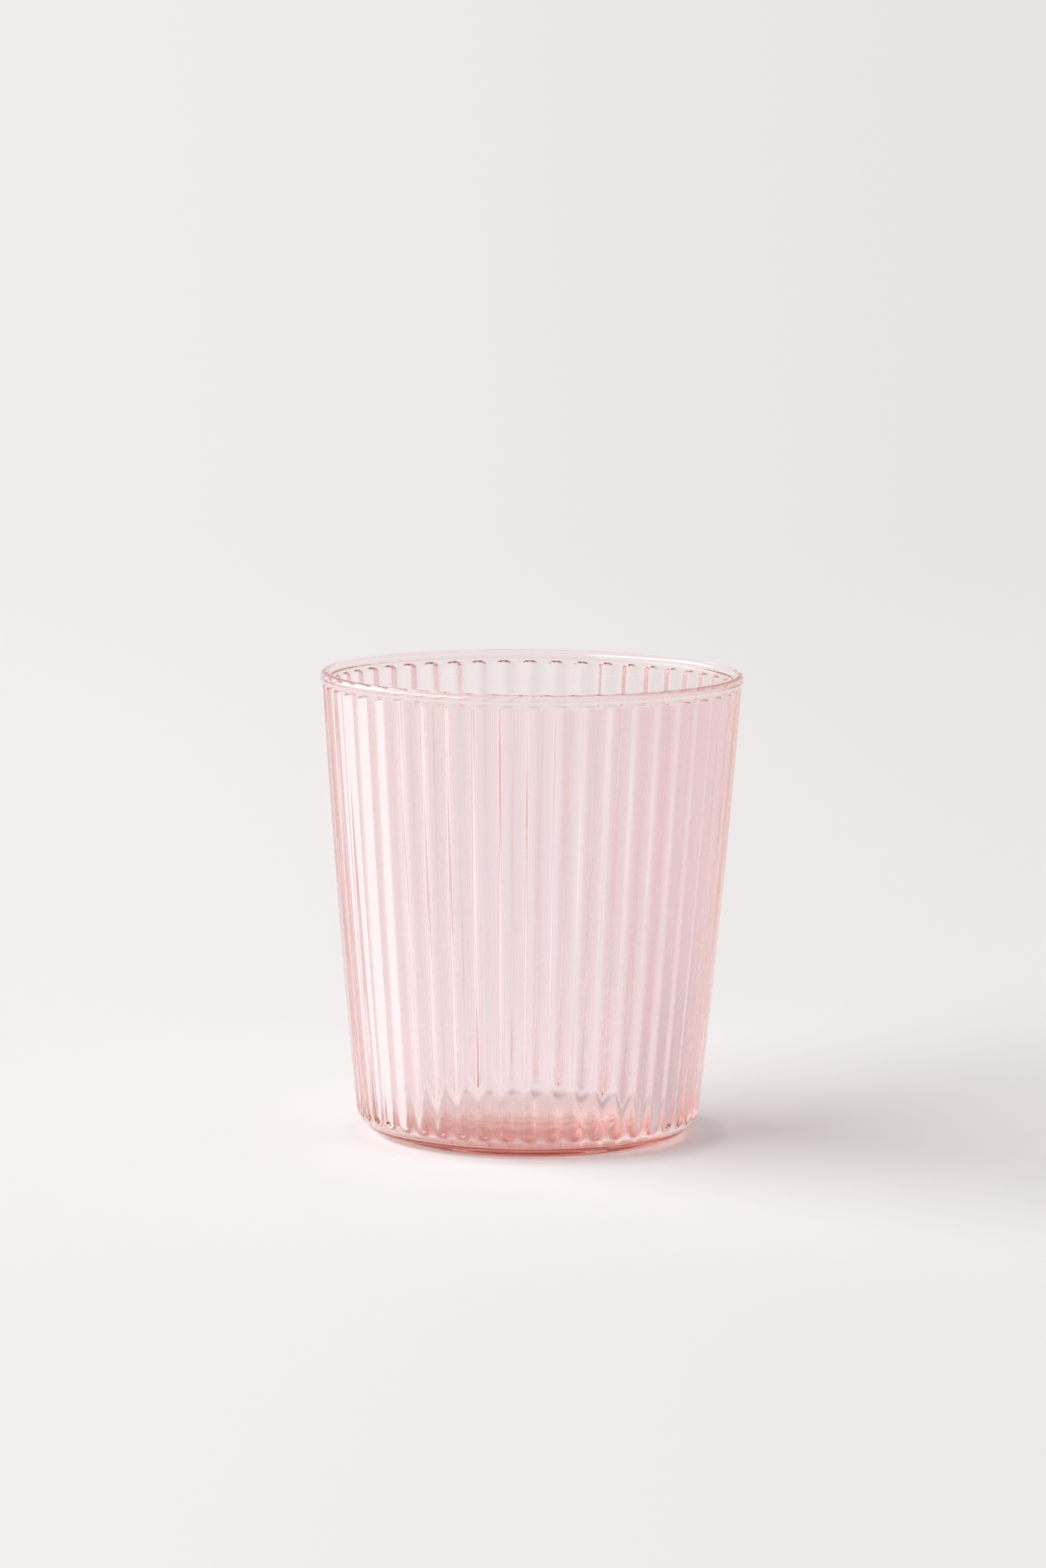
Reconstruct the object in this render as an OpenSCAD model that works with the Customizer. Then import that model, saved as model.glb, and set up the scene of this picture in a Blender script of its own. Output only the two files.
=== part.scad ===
// Ribbed juice glass in one piece of tinted glass: a tapered wall with upright flutes outside that
// end under a round bead at the rim, a rounded heel, and a floor that stands on a ring

/* [Overall] */
// Diameter across the rim bead
rim_d = 80; // [72:0.5:95]
// Height from the table to the top of the rim
height = 88; // [60:0.1:130]
// Diameter of the ribs, carried down to the table
foot_d = 64.1; // [56:0.1:70]
// How far the middle of the wall stands out from a straight taper
wall_bulge = 0.4; // [0:0.05:1]

/* [Glass] */
// Thickness of the wall at a rib
wall = 1.7; // [1.4:0.1:4]
// Height of the floor inside over the table, at its edge
floor_top = 2.2; // [1.6:0.1:12]
// How much higher the middle of the floor is than its edge
floor_rise = 2.5; // [0:0.1:4]

/* [Rim] */
// Thickness of the round bead
bead_d = 2; // [2:0.1:5]
// How far the bead stands out past the ribs
bead_proud = 0.3; // [0.1:0.05:0.8]

/* [Base] */
// Radius of the heel, outside
heel_r = 6.5; // [4:0.1:12]
// Radius of the corner between wall and floor, inside
corner_r = 1.8; // [0.5:0.1:6]
// Width of the ring that touches the table
ring_w = 6.5; // [2:0.5:8]
// Depth of the hollow underneath
hollow_depth = 0.3; // [0.1:0.1:1]

/* [Flutes] */
// Number of flutes round the wall
flute_count = 48; // [12:1:56]
// Radius that a flute is hollowed to
flute_r = 1.4; // [1.1:0.1:3]
// Depth of a flute
flute_depth = 0.9; // [0.2:0.05:1]
// Height of the lower end of a flute over the table
flute_foot = 3; // [2:0.1:20]
// Distance from the bead down to the upper end of a flute
flute_gap = 0.7; // [0.2:0.1:20]

/* [Hidden] */

// Straight steps up the wall and round each corner
wall_steps = 4;
arc_steps = 6;
round_fn = 96;
flute_fn = 32;

top_r = rim_d / 2 - bead_proud;
foot_r = foot_d / 2;
bead_r = bead_d / 2;
bead_centre = [rim_d / 2 - bead_r, height - bead_r];

// Radius of the ribs and of the inside at a height over the table, and how far a slope leans out
function up(z) = z / height;
function bulge(share) = 4 * share * (1 - share);
function rib_r(z) = foot_r + (top_r - foot_r) * up(z) + wall_bulge * bulge(up(z));
function inner_r(z) = rib_r(z) - wall;
function lean(low_r, high_r, rise) = atan((high_r - low_r) / rise);

// Points round an arc, given its centre, its radius, and its first and last angle
function arc(centre, radius, first, last) = [
    for (i = [0:arc_steps])
        let (a = first + (last - first) * i / arc_steps)
            centre + radius * [cos(a), sin(a)]
];

// The heel turns from the table into the wall, and the corner turns from the floor into the wall
heel_lean = lean(rib_r(0), rib_r(heel_r), heel_r);
heel_top = heel_r * (1 - sin(heel_lean));
heel_centre = [rib_r(heel_top) - heel_r * cos(heel_lean), heel_r];
corner_lean = lean(inner_r(floor_top), inner_r(floor_top + corner_r), corner_r);
corner_top = floor_top + corner_r * (1 - sin(corner_lean));
corner_centre = [inner_r(corner_top) - corner_r * cos(corner_lean), floor_top + corner_r];
ring_inner_r = heel_centre[0] - ring_w;

// The round cutter of a flute has a dome at its foot and leans with the wall. Its axis is straight,
// so it is slimmer halfway up by as much as the wall bulges
function cutter_r(z) = rib_r(z) + flute_r - flute_depth;
cutter_rise = height - bead_d - flute_gap - flute_foot;
cutter_lean = lean(cutter_r(flute_foot), cutter_r(flute_foot + cutter_rise), cutter_rise);
cutter_length = cutter_rise / cos(cutter_lean);
cutter_waist = wall_bulge * pow(up(cutter_rise), 2);

module section() {
    translate(bead_centre) circle(r = bead_r, $fn = flute_fn);
    polygon(concat(
        [for (i = [0:arc_steps - 1])
            [ring_inner_r * i / arc_steps, hollow_depth * (1 - pow(i / arc_steps, 2))]],
        [[ring_inner_r, 0]],
        arc(heel_centre, heel_r, -90, -heel_lean),
        [for (i = [1:wall_steps])
            let (z = heel_top + (bead_centre[1] - heel_top) * i / wall_steps) [rib_r(z), z]],
        [for (i = [wall_steps:-1:1])
            let (z = corner_top + (bead_centre[1] - corner_top) * i / wall_steps) [inner_r(z), z]],
        arc(corner_centre, corner_r, -corner_lean, -90),
        [for (i = [arc_steps - 1:-1:0])
            [corner_centre[0] * i / arc_steps, floor_top + floor_rise * (1 - pow(i / arc_steps, 2))]]
    ));
}

module flute_cutter() {
    translate([cutter_r(flute_foot), 0, flute_foot])
        rotate([0, cutter_lean, 0])
            rotate_extrude($fn = flute_fn)
                polygon(concat(
                    arc([0, flute_r], flute_r, -90, 0),
                    [for (i = [1:wall_steps])
                        [flute_r - cutter_waist * bulge(i / wall_steps), cutter_length * i / wall_steps]],
                    [[0, cutter_length]]
                ));
}

module glass_tumbler() {
    color([0.96, 0.76, 0.77, 0.6])
        difference() {
            rotate_extrude($fn = round_fn) section();
            for (i = [0:flute_count - 1])
                rotate([0, 0, 360 * i / flute_count]) flute_cutter();
        }
}

glass_tumbler();
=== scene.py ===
"""Juice glass: a fluted tumbler of tinted glass, with the table, the light and the camera."""

import math

import bpy
from mathutils import Matrix, Vector


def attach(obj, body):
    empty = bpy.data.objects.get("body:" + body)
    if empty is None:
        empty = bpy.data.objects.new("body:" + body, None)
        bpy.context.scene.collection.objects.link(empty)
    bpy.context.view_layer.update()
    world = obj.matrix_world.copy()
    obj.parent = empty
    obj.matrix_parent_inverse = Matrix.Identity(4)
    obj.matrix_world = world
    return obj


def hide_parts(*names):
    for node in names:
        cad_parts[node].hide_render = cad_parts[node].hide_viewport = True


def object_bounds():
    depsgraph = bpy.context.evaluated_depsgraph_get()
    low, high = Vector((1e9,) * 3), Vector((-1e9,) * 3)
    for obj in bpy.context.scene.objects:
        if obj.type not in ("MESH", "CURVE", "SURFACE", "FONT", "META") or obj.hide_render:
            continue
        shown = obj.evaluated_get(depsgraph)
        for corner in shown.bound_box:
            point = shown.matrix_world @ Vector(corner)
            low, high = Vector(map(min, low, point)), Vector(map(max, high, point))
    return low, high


bl_info = {
    "name": "Fluted juice glass",
    "version": (1, 0),
    "blender": (4, 5, 0),
    "location": "View3D > Sidebar > Juice glass",
    "description": "Models a fluted juice glass of tinted glass, its table, light and camera",
    "category": "Add Mesh",
}

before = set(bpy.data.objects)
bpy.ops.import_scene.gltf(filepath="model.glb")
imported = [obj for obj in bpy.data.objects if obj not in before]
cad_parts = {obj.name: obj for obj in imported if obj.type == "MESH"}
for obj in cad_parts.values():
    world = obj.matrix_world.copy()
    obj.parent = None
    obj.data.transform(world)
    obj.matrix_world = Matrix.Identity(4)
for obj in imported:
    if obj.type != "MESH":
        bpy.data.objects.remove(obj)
cad_low, cad_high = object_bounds()

MM = 0.001

# Straight steps along each stretch of the outline. They are close where the flutes begin and end
STEPS = {
    "hollow": 4,
    "heel": 20,
    "flute_foot": 4,
    "wall": 16,
    "flute_end": 18,
    "flute_gap": 3,
    "bead_joint": 8,
    "bead": 20,
    "inside": 12,
    "corner": 12,
    "floor": 6,
}
FLUTE_FOOT_TOP = 9 * MM
WELD = 0.002 * MM

# How steeply the limit that keeps the wall out of the bead falls away below the bead
BEAD_UNDERCUT = 8

# The vertex weights of a flute are shares of this much more than its depth, so none reaches 1
WEIGHT_ROOM = 1.2

# Waves in the glass and grain in the paper, per metre. The waves are drawn out upright
WAVES = (160.0, 160.0, 9.0)
GRAIN = 900.0
GRAIN_HEIGHT = 0.1 * MM

# The table is a wide disc, a hair lower than the foot of the glass
TABLE_RADIUS = 40
TABLE_CORNERS = 64
TABLE_DROP = 0.03 * MM

# Distances from the glass over which the paper of the table turns into the even backdrop
BACKDROP_START = 0.25
BACKDROP_END = 1.3

# The side tone is painted shade, darker away from the window on the left: it runs from light to
# dark across the axis of the glass. On the table it fans out: it goes by the place across over the
# distance, where the distance is made this much longer
SIDE_SPREAD = 1.2
TABLE_SHADE_REACH = 0.09
ROOM_SHADE_REACH = 0.2

# The painted sheen towards the window and the painted shade away from it, as the glass shows the
# table, go by the same rule, and keep clear of what lies under the glass
SIDE_NEAR = 60 * MM
PAINTED_SHEEN_SIDE = (0.25, 0.6)
PAINTED_SHADE_SIDE = (0.25, 0.7)
PAINTED_SHEEN_COLOUR = (1.0, 0.98, 0.98)

# Height in the room, as the sine of an angle: where walls turn into the roof, and where the roof
# turns lighter again straight above, by this share
ROOF_START, ROOF_END = 0.35, 0.85
ZENITH_START, ZENITH_END = 0.87, 0.98
ZENITH_SHARE = 0.8
ROOM_COLOUR = (1.0, 0.985, 0.98)
WINDOW_COLOUR = (1.0, 1.0, 1.0)

# Soft lower and upper edge of the window: from, to, added to its sill and to its top
SILL_EDGE = (-0.1, 0.05)
TOP_EDGE = (-0.05, 0.15)

LIGHT_PATH = ("Is Camera Ray", "Is Glossy Ray", "Is Transmission Ray", "Diffuse Depth")

# Clear glass needs many bounces, or its deep edges turn black
BOUNCES = 64
SENSOR_HEIGHT = 36
CLIP_END = 200


def length(name, description, default):
    """A size in metres that the sidebar shows with its unit."""
    return bpy.props.FloatProperty(
        name=name, description=description, default=default, unit="LENGTH", precision=5, step=0.01
    )


def colour(name, description, default):
    return bpy.props.FloatVectorProperty(
        name=name, description=description, default=default, subtype="COLOR", min=0, max=1
    )


def angle(name, description, degrees):
    return bpy.props.FloatProperty(
        name=name, description=description, default=math.radians(degrees), unit="ROTATION"
    )


def share(name, description, default):
    """A plain number without a unit, never below zero."""
    return bpy.props.FloatProperty(name=name, description=description, default=default, min=0)


def count(name, description, default, least):
    return bpy.props.IntProperty(name=name, description=description, default=default, min=least)


class TumblerSizes(bpy.types.PropertyGroup):
    """Sizes of the glass. Height and rim come from the frame, the others are the model's own."""

    height: length("Height", "Table to the top of the rim", cad_high.z)
    rim_r: length("Rim radius", "Outside of the rim bead", cad_high.x)
    foot_r: length("Foot radius", "Ribs, carried down to the table", 32.05 * MM)
    wall_bulge: length("Wall bulge", "Middle of the wall beyond a straight taper", 0.4 * MM)
    wall: length("Wall", "Thickness of the wall at a rib", 1.7 * MM)
    floor_top: length("Floor", "Height of the floor inside, at its edge", 2.2 * MM)
    floor_rise: length("Floor rise", "How much higher the middle of the floor is", 2.5 * MM)
    bead_r: length("Bead radius", "Half the thickness of the rim bead", 1.0 * MM)
    bead_proud: length("Bead proud", "How far the bead stands out past the ribs", 0.3 * MM)
    heel_r: length("Heel radius", "Rounding from the wall to the table", 6.5 * MM)
    corner_r: length("Corner radius", "Rounding from the wall to the floor, inside", 1.8 * MM)
    ring_w: length("Ring width", "Ring that touches the table", 6.5 * MM)
    hollow_depth: length("Hollow depth", "Hollow under the floor", 0.3 * MM)
    flute_count: count("Flutes", "Number of flutes round the wall", 48, 3)
    columns: count("Columns", "Faces across one flute and its rib", 16, 4)
    flute_depth: length("Flute depth", "Depth of a flute, high up", 0.95 * MM)
    flute_fade: share("Flute fade", "Share of the depth that a flute lacks at its foot", 0.25)
    flute_reach: length("Flute reach", "Height over which that lack fades to a third", 3.0 * MM)
    flute_sharp: share("Flute sharpness", "How narrow the flutes are beside the ribs", 2.5)
    flute_foot: length("Flute foot", "Height at which the flutes begin", 3.6 * MM)
    flute_run: length("Flute run", "Height over which a flute sinks in at its foot", 0.8 * MM)
    flute_gap: length("Flute gap", "From the bead down to the upper end of a flute", 0.2 * MM)
    flute_close: length("Flute close", "Height over which a flute closes there", 0.4 * MM)
    flute_bow: length("Flute bow", "How much lower the upper end is at the ribs", 1.1 * MM)
    edge_soft: length("Edge softness", "How gently a flute runs out", 0.03 * MM)
    bead_soft: length("Bead softness", "How gently the wall runs into the bead", 0.1 * MM)


class GlassTint(bpy.types.PropertyGroup):
    """Colour and clearness of the glass."""

    tint: colour("Tint", "Colour of a thick piece of the glass", (0.85, 0.225, 0.045))
    coat: colour("Coat", "Colour of the surface", (0.993, 0.935, 0.948))
    depth: share("Tint density", "Strength of the tint, per metre", 22)
    ior: bpy.props.FloatProperty(name="IOR", description="Index of refraction", default=1.5, min=1)
    wave: length("Wave", "Height of the faint waves in the surface", 0.02 * MM)


class StudioLook(bpy.types.PropertyGroup):
    """Table, light and camera."""

    paper: colour("Paper", "Colour of the table", (0.93, 0.905, 0.91))
    backdrop: colour("Backdrop", "Colour of what stands round the table", (0.87, 0.845, 0.83))
    # Painted sheen: a glow added to the table where the glass shows it, towards the window
    sheen: share("Sheen", "Sheen of the table towards the window, seen through the glass", 0.18)
    # Painted shade: the duller colour of the table away from the window, where the glass shows it
    shade: colour(
        "Shade", "Colour of the table away from the window, seen through it", (0.9, 0.735, 0.775)
    )
    # Painted shade: the table and the walls are painted darker on the right, away from the window
    side_shade_fall: share("Side fall", "How much darker the right side is than the left", 0.08)
    roof: colour("Roof", "Colour above, as the glass shows it", (0.34, 0.15, 0.115))
    room_light: share("Room light", "Brightness of walls and roof, as they light the table", 0.435)
    window_light: share("Window light", "Brightness of the window, as it lights the table", 5.3)
    window: share("Window", "Brightness of the window on the left, seen through the glass", 1.6)
    window_shine: share("Window shine", "Brightness of the window in reflections", 6.0)
    window_front: angle("Window, front edge", "Angle from the left to its front edge", -45)
    window_back: angle("Window, back edge", "Angle from the left to its back edge", 33)
    window_soft: angle("Window, softness", "Width of its soft edges", 15)
    window_low: share("Window, sill", "Height of its lower edge, as the sine of an angle", 0.2)
    window_high: share("Window, top", "Height of its upper edge, as the sine of an angle", 0.6)
    eye: bpy.props.FloatVectorProperty(
        name="Eye",
        description="Place of the camera",
        default=(-0.0015, -1.2, 0.2216),
        unit="LENGTH",
    )
    eye_round: angle("Round", "Turn of the camera about the glass", -0.6)
    eye_tilt: angle("Tilt", "Angle below the horizon", 7.36)
    eye_roll: angle("Roll", "Turn about the line of sight", 0.6)
    lens: share("Lens", "Focal length in mm", 147.06)


class Section:
    """Outline of the glass through its axis, worked out from the sizes."""

    def __init__(self, sizes):
        self.s = sizes
        self.top_r = sizes.rim_r - sizes.bead_proud
        self.bead = (sizes.rim_r - sizes.bead_r, sizes.height - sizes.bead_r)
        lean = math.atan2(self.rib_r(sizes.heel_r) - self.rib_r(0), sizes.heel_r)
        self.heel_lean = lean
        self.heel_top = sizes.heel_r * (1 - math.sin(lean))
        self.heel = (self.rib_r(self.heel_top) - sizes.heel_r * math.cos(lean), sizes.heel_r)
        floor, corner = sizes.floor_top, sizes.corner_r
        lean = math.atan2(self.inner_r(floor + corner) - self.inner_r(floor), corner)
        self.corner_lean = lean
        self.corner_top = floor + corner * (1 - math.sin(lean))
        self.corner = (self.inner_r(self.corner_top) - corner * math.cos(lean), floor + corner)
        self.ring_inner = self.heel[0] - sizes.ring_w
        self.flute_end = sizes.height - 2 * sizes.bead_r - sizes.flute_gap

    def rib_r(self, z):
        """Outside of the wall at a height, where no flute cuts it."""
        up = z / self.s.height
        bulge = 4 * self.s.wall_bulge * up * (1 - up)
        return self.s.foot_r + (self.top_r - self.s.foot_r) * up + bulge

    def inner_r(self, z):
        return self.rib_r(z) - self.s.wall

    def floor_z(self, r):
        rise = self.s.floor_rise * (1 - (r / self.corner[0]) ** 2)
        return self.s.floor_top + rise

    def bead_meets(self, wall_r):
        """Height below the bead's middle at which a wall runs into the bead."""
        z = self.bead[1]
        for _ in range(8):
            across = wall_r(z) - self.bead[0]
            z = self.bead[1] - math.sqrt(self.s.bead_r**2 - across**2)
        return z

    def bead_limit(self, z):
        """Outside of the bead at a height. Below the bead it falls away inwards."""
        across = self.s.bead_r**2 - (z - self.bead[1]) ** 2
        if across > 0:
            return self.bead[0] + math.sqrt(across)
        return self.bead[0] - BEAD_UNDERCUT * (self.bead[1] - self.s.bead_r - z)

    def depth_at(self, z, turn):
        """Depth of a flute at a height: less at its foot, and none past its arched upper end."""
        s = self.s
        lack = s.flute_fade * math.exp((s.flute_foot - z) / s.flute_reach)
        depth = s.flute_depth * (1 - lack) * ease((z - s.flute_foot) / s.flute_run)
        arch = self.flute_end - s.flute_bow * turn**2
        closed = min(1.0, max(0.0, (z - arch) / s.flute_close + 1))
        return depth * math.sqrt(1 - closed**2)

    def sink(self, r, z, turn):
        """How far a point of the outside moves in: into its flute, but not into the bead.

        The turn is 0 in the middle of a flute, and 1 in the middle of the rib beside it.
        """
        across = max(0.0, math.cos(turn * math.pi / 2))
        cut = self.depth_at(z, turn) * across**self.s.flute_sharp
        wall_r = r - soft_part(cut - (self.rib_r(z) - r), self.s.edge_soft)
        return r - wall_r - soft_part(self.bead_limit(z) - wall_r, self.s.bead_soft)

    def outline(self):
        """Points from the middle of the underside, round the outside and the rim, to the floor."""
        s = self.s
        closing = self.flute_end - s.flute_bow - s.flute_close
        bead_foot = self.bead[1] - s.bead_r
        outer_end = self.bead_meets(self.rib_r)
        joint = math.atan2(outer_end - self.bead[1], self.rib_r(outer_end) - self.bead[0])
        steps = STEPS["hollow"]
        points = [
            (self.ring_inner * i / steps, s.hollow_depth * (1 - (i / steps) ** 2))
            for i in range(steps)
        ]
        points += [(self.ring_inner, 0.0)]
        points += arc(self.heel, s.heel_r, -math.pi / 2, -self.heel_lean, STEPS["heel"])
        upright = stretch(self.heel_top, FLUTE_FOOT_TOP, STEPS["flute_foot"])
        upright += stretch(FLUTE_FOOT_TOP, closing, STEPS["wall"])
        upright += stretch(closing, self.flute_end, STEPS["flute_end"])
        upright += stretch(self.flute_end, bead_foot, STEPS["flute_gap"])
        upright += stretch(bead_foot, outer_end, STEPS["bead_joint"])
        points += [(self.rib_r(z), z) for z in upright]
        points += arc(self.bead, s.bead_r, joint, math.pi, STEPS["bead"])[1:]
        downward = stretch(self.bead[1], self.corner_top, STEPS["inside"])
        points += [(self.inner_r(z), z) for z in downward]
        corner = arc(self.corner, s.corner_r, -self.corner_lean, -math.pi / 2, STEPS["corner"])
        points += corner[1:]
        inward = stretch(self.corner[0], 0.0, STEPS["floor"])
        return points + [(r, self.floor_z(r)) for r in inward]


def ease(part):
    """Rises smoothly from 0 to 1."""
    part = min(1.0, max(0.0, part))
    return part * part * (3 - 2 * part)


def soft_part(value, softness):
    """The value where it is above zero, and next to nothing below, with a round bend between."""
    return 0.5 * (value + math.hypot(value, softness))


def stretch(first, last, steps):
    """Even steps from first to last, without first itself."""
    return [first + (last - first) * i / steps for i in range(1, steps + 1)]


def arc(centre, radius, first, last, steps):
    angles = [first + (last - first) * i / steps for i in range(steps + 1)]
    return [(centre[0] + radius * math.cos(a), centre[1] + radius * math.sin(a)) for a in angles]


class Wire:
    """An output socket. A sum on it adds a Math node, so a pattern reads as a formula."""

    def __init__(self, shader, socket):
        self.shader = shader
        self.socket = socket

    def maths(self, operation, *terms):
        return self.shader.node("ShaderNodeMath", {"operation": operation}, dict(enumerate(terms)))

    def __add__(self, other):
        return self.maths("ADD", self, other)

    __radd__ = __add__

    def __sub__(self, other):
        return self.maths("SUBTRACT", self, other)

    def __rsub__(self, other):
        return self.maths("SUBTRACT", other, self)

    def __mul__(self, other):
        return self.maths("MULTIPLY", self, other)

    __rmul__ = __mul__

    def __truediv__(self, other):
        return self.maths("DIVIDE", self, other)


class Shader:
    """The nodes of one material or world."""

    def __init__(self, owner):
        owner.use_nodes = True
        self.tree = owner.node_tree
        self.tree.nodes.clear()

    def node(self, kind, settings=None, sockets=None, out=0):
        """Adds a node: its settings first, then the values or wires of its sockets."""
        made = self.tree.nodes.new(kind)
        for name, value in (settings or {}).items():
            setattr(made, name, value)
        for key, value in (sockets or {}).items():
            if isinstance(value, Wire):
                self.tree.links.new(value.socket, made.inputs[key])
            else:
                made.inputs[key].default_value = value
        return Wire(self, made.outputs[out]) if made.outputs else made

    def part(self, vector, axis):
        """One part of a vector, by the name of its axis."""
        return self.node("ShaderNodeSeparateXYZ", None, {0: vector}, out=axis)

    def smooth(self, value, low, high):
        """0 below low, 1 above high, and an easy curve between."""
        return self.node(
            "ShaderNodeMapRange",
            {"interpolation_type": "SMOOTHSTEP"},
            {"Value": value, "From Min": low, "From Max": high},
        )

    def at_least_one(self, number):
        """1 where a whole number is 1 or more, and 0 where it is 0."""
        return self.smooth(number, 0.4, 0.6)

    def blend(self, factor, a, b):
        return self.node(
            "ShaderNodeMix", {"data_type": "RGBA"}, {"Factor": factor, 6: a, 7: b}, out=2
        )

    def scale(self, tone, amount):
        return self.node("ShaderNodeVectorMath", {"operation": "SCALE"}, {0: tone, "Scale": amount})

    def add(self, a, b):
        return self.node("ShaderNodeVectorMath", {"operation": "ADD"}, {0: a, 1: b})


def tinted_glass(look):
    """Clear glass with its tint in the depth, and faint upright waves from the mould."""
    material = bpy.data.materials.new("tinted_glass")
    shader = Shader(material)
    place = shader.node("ShaderNodeTexCoord", out="Object")
    drawn_out = shader.node("ShaderNodeMapping", None, {"Vector": place, "Scale": WAVES})
    waves = shader.node(
        "ShaderNodeTexNoise",
        None,
        {"Vector": drawn_out, "Scale": 1.0, "Detail": 2.0, "Roughness": 0.5},
    )
    bump = shader.node(
        "ShaderNodeBump", None, {"Strength": 1.0, "Distance": look.wave, "Height": waves}
    )
    surface = shader.node(
        "ShaderNodeBsdfPrincipled",
        None,
        {
            "Base Color": (*look.coat, 1.0),
            "Roughness": 0.0,
            "IOR": look.ior,
            "Transmission Weight": 1.0,
            "Normal": bump,
        },
    )
    depth = shader.node(
        "ShaderNodeVolumeAbsorption", None, {"Color": (*look.tint, 1.0), "Density": look.depth}
    )
    shader.node("ShaderNodeOutputMaterial", None, {"Surface": surface, "Volume": depth})
    return material


def painted_side_shade(shader, look, rightward, reach):
    """Painted shade: evenly darker from the left to the right, away from the window on the left."""
    return 1 - look.side_shade_fall * shader.smooth(rightward, -reach, reach)


def paper_material(look):
    """Matt paper near the glass, which takes its shadow, and a backdrop far from it. Both carry
    painted shade, darker to the right.

    Seen through the glass, the paper has a painted sheen, a glow added towards the window, and
    painted shade, a duller colour, away from it.
    """
    material = bpy.data.materials.new("paper")
    shader = Shader(material)
    place = shader.node("ShaderNodeTexCoord", out="Object")
    distance = shader.node("ShaderNodeVectorMath", {"operation": "LENGTH"}, {0: place}, out="Value")
    grain = shader.node(
        "ShaderNodeTexNoise", None, {"Vector": place, "Scale": GRAIN, "Detail": 3.0}
    )
    bump = shader.node(
        "ShaderNodeBump", None, {"Strength": 0.1, "Distance": GRAIN_HEIGHT, "Height": grain}
    )
    x = shader.part(place, "X")
    # Painted shade across the table, darker to the right
    side = painted_side_shade(shader, look, x / (distance + SIDE_SPREAD), TABLE_SHADE_REACH)
    through = shader.node("ShaderNodeLightPath", out="Is Transmission Ray")
    rightward = x / (distance + SIDE_NEAR)
    # Painted sheen: brighter towards the window, only where the glass shows the table
    sheen = shader.smooth(rightward * -1.0, *PAINTED_SHEEN_SIDE) * through * look.sheen
    # Painted shade: duller away from the window, only where the glass shows the table
    painted_shade_mask = shader.smooth(rightward, *PAINTED_SHADE_SIDE) * through
    tone = shader.blend(painted_shade_mask, (*look.paper, 1.0), (*look.shade, 1.0))
    matt = shader.node(
        "ShaderNodeBsdfDiffuse", None, {"Color": shader.scale(tone, side), "Normal": bump}
    )
    # The painted sheen is a glow added to the matt paper
    painted_sheen_glow = shader.node("ShaderNodeEmission", None, {"Color": shader.scale(PAINTED_SHEEN_COLOUR, sheen)})
    near = shader.node("ShaderNodeAddShader", None, {0: matt, 1: painted_sheen_glow})
    # The backdrop carries the same painted shade, darker to the right
    far = shader.node("ShaderNodeEmission", None, {"Color": shader.scale((*look.backdrop,), side)})
    reach = shader.smooth(distance, BACKDROP_START, BACKDROP_END)
    surface = shader.node("ShaderNodeMixShader", None, {0: reach, 1: near, 2: far})
    shader.node("ShaderNodeOutputMaterial", None, {"Surface": surface})
    return material


def window_shape(shader, look, direction):
    """1 inside the window on the left, with soft edges, and 0 outside it."""
    leftward = shader.part(direction, "X") * -1.0
    y = shader.part(direction, "Y")
    height = shader.part(direction, "Z")
    azimuth = y.maths("ARCTAN2", y, leftward)
    front, back, soft = look.window_front, look.window_back, look.window_soft
    across = shader.smooth(azimuth, front - soft, front)
    across = across * (1 - shader.smooth(azimuth, back, back + soft))
    sill = [look.window_low + edge for edge in SILL_EDGE]
    top = [look.window_high + edge for edge in TOP_EDGE]
    return across * shader.smooth(height, *sill) * (1 - shader.smooth(height, *top))


def studio_world(look):
    """Walls and a dark roof with one soft window on the left, as the glass shows them.

    The table gets its light from the same window in an evenly lit room.
    """
    world = bpy.data.worlds.new("studio")
    shader = Shader(world)
    direction = shader.node("ShaderNodeTexCoord", out="Generated")
    path = {name: shader.node("ShaderNodeLightPath", out=name) for name in LIGHT_PATH}
    mirror, through = path["Is Glossy Ray"], path["Is Transmission Ray"]
    seen = shader.at_least_one(path["Is Camera Ray"] + mirror + through)
    lighting = 1 - seen * (1 - shader.at_least_one(path["Diffuse Depth"]))
    height = shader.part(direction, "Z")
    roof = shader.smooth(height, ROOF_START, ROOF_END)
    roof = roof * (1 - shader.smooth(height, ZENITH_START, ZENITH_END) * ZENITH_SHARE)
    # Painted shade on the walls as seen: darker to the right, away from the window
    side = painted_side_shade(shader, look, shader.part(direction, "X"), ROOM_SHADE_REACH)
    walls = shader.scale((*look.backdrop,), side)
    tone = shader.blend(roof, walls, (*look.roof, 1.0))
    tone = shader.blend(lighting, tone, shader.scale(ROOM_COLOUR, look.room_light))
    shown = look.window + (look.window_shine - look.window) * mirror * (1 - through)
    glow = window_shape(shader, look, direction) * (shown + (look.window_light - shown) * lighting)
    tone = shader.add(tone, shader.scale(WINDOW_COLOUR, glow))
    surface = shader.node("ShaderNodeBackground", None, {"Color": tone})
    shader.node("ShaderNodeOutputWorld", None, {"Surface": surface})
    return world


def select_none():
    bpy.ops.object.select_all(action="DESELECT")


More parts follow.
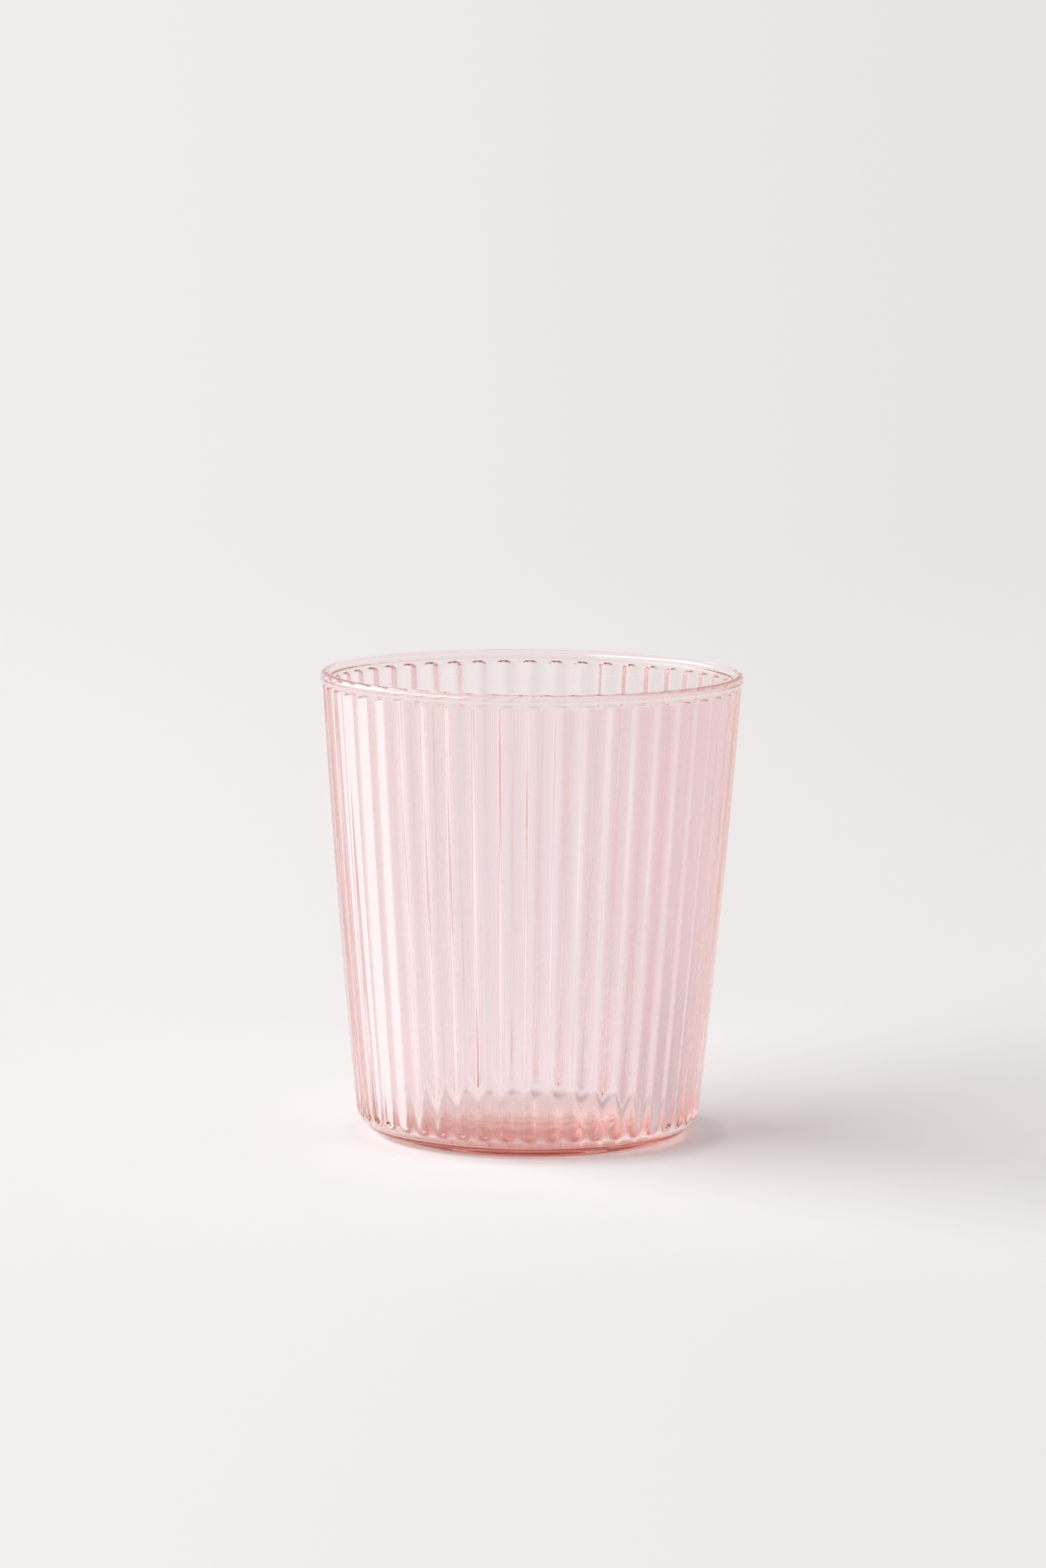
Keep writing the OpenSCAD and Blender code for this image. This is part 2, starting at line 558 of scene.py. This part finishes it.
def draw_outline(points, turn):
    """Draws the outline upright at an angle round the axis, one extruded point after another."""
    select_none()
    towards = Vector((math.cos(turn), math.sin(turn), 0))
    r, z = points[0]
    bpy.ops.mesh.primitive_plane_add(size=MM, location=towards * r + Vector((0, 0, z)))
    piece = bpy.context.object
    bpy.ops.object.transform_apply(location=True, rotation=True, scale=True)
    bpy.ops.object.mode_set(mode="EDIT")
    bpy.ops.mesh.select_all(action="SELECT")
    bpy.ops.mesh.merge(type="CENTER")
    bpy.ops.mesh.select_mode(type="VERT")
    for (r0, z0), (r1, z1) in zip(points, points[1:]):
        step = towards * (r1 - r0) + Vector((0, 0, z1 - z0))
        bpy.ops.mesh.extrude_vertices_move(TRANSFORM_OT_translate={"value": step})
    bpy.ops.object.mode_set(mode="OBJECT")
    return piece


def column_angles(sizes):
    """Angles across one pitch, from the middle of one rib to the next."""
    pitch = 2 * math.pi / sizes.flute_count
    return [pitch * (i / sizes.columns - 0.5) for i in range(sizes.columns + 1)]


def spin_pitch(angles):
    """Spins the outline through one pitch, column by column."""
    bpy.ops.object.mode_set(mode="EDIT")
    bpy.ops.mesh.select_all(action="SELECT")
    for before, after in zip(angles, angles[1:]):
        bpy.ops.mesh.spin(steps=1, angle=after - before, center=(0, 0, 0), axis=(0, 0, 1))
    bpy.ops.object.mode_set(mode="OBJECT")


def on_outside(place, sizes, form):
    """Whether a point lies on the outside, clear of the underside and of the top of the rim."""
    if not MM < place.z < sizes.height - sizes.bead_r:
        return False
    return place.xy.length > form.inner_r(place.z) + 0.3 * MM


def sink_flute(piece, sizes, form):
    """Sinks one flute into the outside of the pitch."""
    group = piece.vertex_groups.new(name="flute")
    deepest = sizes.flute_depth * WEIGHT_ROOM
    half_pitch = math.pi / sizes.flute_count
    for vertex in piece.data.vertices:
        place = vertex.co
        if on_outside(place, sizes, form):
            turn = math.atan2(place.y, place.x) / half_pitch
            sunk = form.sink(place.xy.length, place.z, turn)
            group.add([vertex.index], sunk / deepest, "REPLACE")
    select_none()
    piece.select_set(True)
    bpy.context.view_layer.objects.active = piece
    carve = piece.modifiers.new("flute", "DISPLACE")
    carve.direction = "X"
    carve.vertex_group = group.name
    carve.mid_level = 0
    carve.strength = -deepest
    bpy.ops.object.modifier_apply(modifier=carve.name)
    piece.vertex_groups.clear()


def repeat_round(copies):
    """Sets copies of the pitch side by side right round, and welds them."""
    pitch = 2 * math.pi / copies
    bpy.ops.object.mode_set(mode="EDIT")
    bpy.ops.mesh.select_all(action="SELECT")
    bpy.ops.mesh.spin(
        steps=copies - 1, dupli=True, angle=pitch * (copies - 1), center=(0, 0, 0), axis=(0, 0, 1)
    )
    bpy.ops.mesh.select_all(action="SELECT")
    bpy.ops.mesh.remove_doubles(threshold=WELD)
    bpy.ops.mesh.normals_make_consistent(inside=False)
    bpy.ops.object.mode_set(mode="OBJECT")
    bpy.ops.object.shade_smooth()


def lay_table(look):
    """A wide disc of paper under the glass."""
    select_none()
    bpy.ops.mesh.primitive_circle_add(
        vertices=TABLE_CORNERS, radius=TABLE_RADIUS, fill_type="NGON", location=(0, 0, -TABLE_DROP)
    )
    table = bpy.context.object
    bpy.ops.object.transform_apply(location=True, rotation=False, scale=False)
    table.name = "table"
    table.data.materials.append(paper_material(look))


def aim_camera(look):
    """The camera stands before the glass and looks down at it a little."""
    bpy.ops.object.camera_add(location=look.eye)
    camera = bpy.context.object
    place = Matrix.Rotation(look.eye_round, 4, "Z") @ Matrix.Translation(Vector(look.eye))
    place = place @ Matrix.Rotation(math.pi / 2 - look.eye_tilt, 4, "X")
    camera.matrix_world = place @ Matrix.Rotation(look.eye_roll, 4, "Z")
    camera.data.sensor_fit = "VERTICAL"
    camera.data.sensor_height = SENSOR_HEIGHT
    camera.data.lens = look.lens
    camera.data.clip_end = CLIP_END
    bpy.context.scene.camera = camera


def let_light_through(scene):
    """Enough bounces for the thick edges of the glass, and sharp reflections."""
    scene.cycles.max_bounces = BOUNCES
    scene.cycles.transmission_bounces = BOUNCES
    scene.cycles.glossy_bounces = BOUNCES
    scene.cycles.blur_glossy = 0.0


class JUICEGLASS_OT_tumbler(bpy.types.Operator):
    """Models the glass: outline, one pitch with its flute, copies right round"""

    bl_idname = "juice_glass.tumbler"
    bl_label = "Tumbler"

    def execute(self, context):
        sizes = context.scene.tumbler_sizes
        form = Section(sizes)
        angles = column_angles(sizes)
        piece = draw_outline(form.outline(), angles[-1])
        spin_pitch(angles)
        sink_flute(piece, sizes, form)
        repeat_round(sizes.flute_count)
        piece.name = "tumbler"
        piece.data.name = "tumbler"
        piece.data.materials.append(tinted_glass(context.scene.glass_tint))
        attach(piece, "root")
        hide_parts("glass_tumbler")
        return {"FINISHED"}


class JUICEGLASS_OT_studio(bpy.types.Operator):
    """Sets the table, the light and the camera"""

    bl_idname = "juice_glass.studio"
    bl_label = "Studio"

    def execute(self, context):
        look = context.scene.studio_look
        lay_table(look)
        context.scene.world = studio_world(look)
        aim_camera(look)
        context.scene.view_settings.view_transform = "Standard"
        let_light_through(context.scene)
        return {"FINISHED"}


class JUICEGLASS_PT_panel(bpy.types.Panel):
    """Sizes, colours and buttons of the juice glass, in the sidebar"""

    bl_idname = "JUICEGLASS_PT_panel"
    bl_label = "Juice glass"
    bl_space_type = "VIEW_3D"
    bl_region_type = "UI"
    bl_category = "Juice glass"

    def draw(self, context):
        for group, button in GROUPS:
            box = self.layout.box()
            settings = getattr(context.scene, group)
            for name in settings.__annotations__:
                box.prop(settings, name)
            if button:
                box.operator(button)


GROUPS = (
    ("tumbler_sizes", None),
    ("glass_tint", JUICEGLASS_OT_tumbler.bl_idname),
    ("studio_look", JUICEGLASS_OT_studio.bl_idname),
)
CLASSES = (
    TumblerSizes,
    GlassTint,
    StudioLook,
    JUICEGLASS_OT_tumbler,
    JUICEGLASS_OT_studio,
    JUICEGLASS_PT_panel,
)


def register():
    for each in CLASSES:
        bpy.utils.register_class(each)
    bpy.types.Scene.tumbler_sizes = bpy.props.PointerProperty(type=TumblerSizes)
    bpy.types.Scene.glass_tint = bpy.props.PointerProperty(type=GlassTint)
    bpy.types.Scene.studio_look = bpy.props.PointerProperty(type=StudioLook)


def unregister():
    del bpy.types.Scene.tumbler_sizes
    del bpy.types.Scene.glass_tint
    del bpy.types.Scene.studio_look
    for each in reversed(CLASSES):
        bpy.utils.unregister_class(each)


def main():
    register()
    bpy.ops.juice_glass.studio()
    bpy.ops.juice_glass.tumbler()


if __name__ == "__main__":
    main()
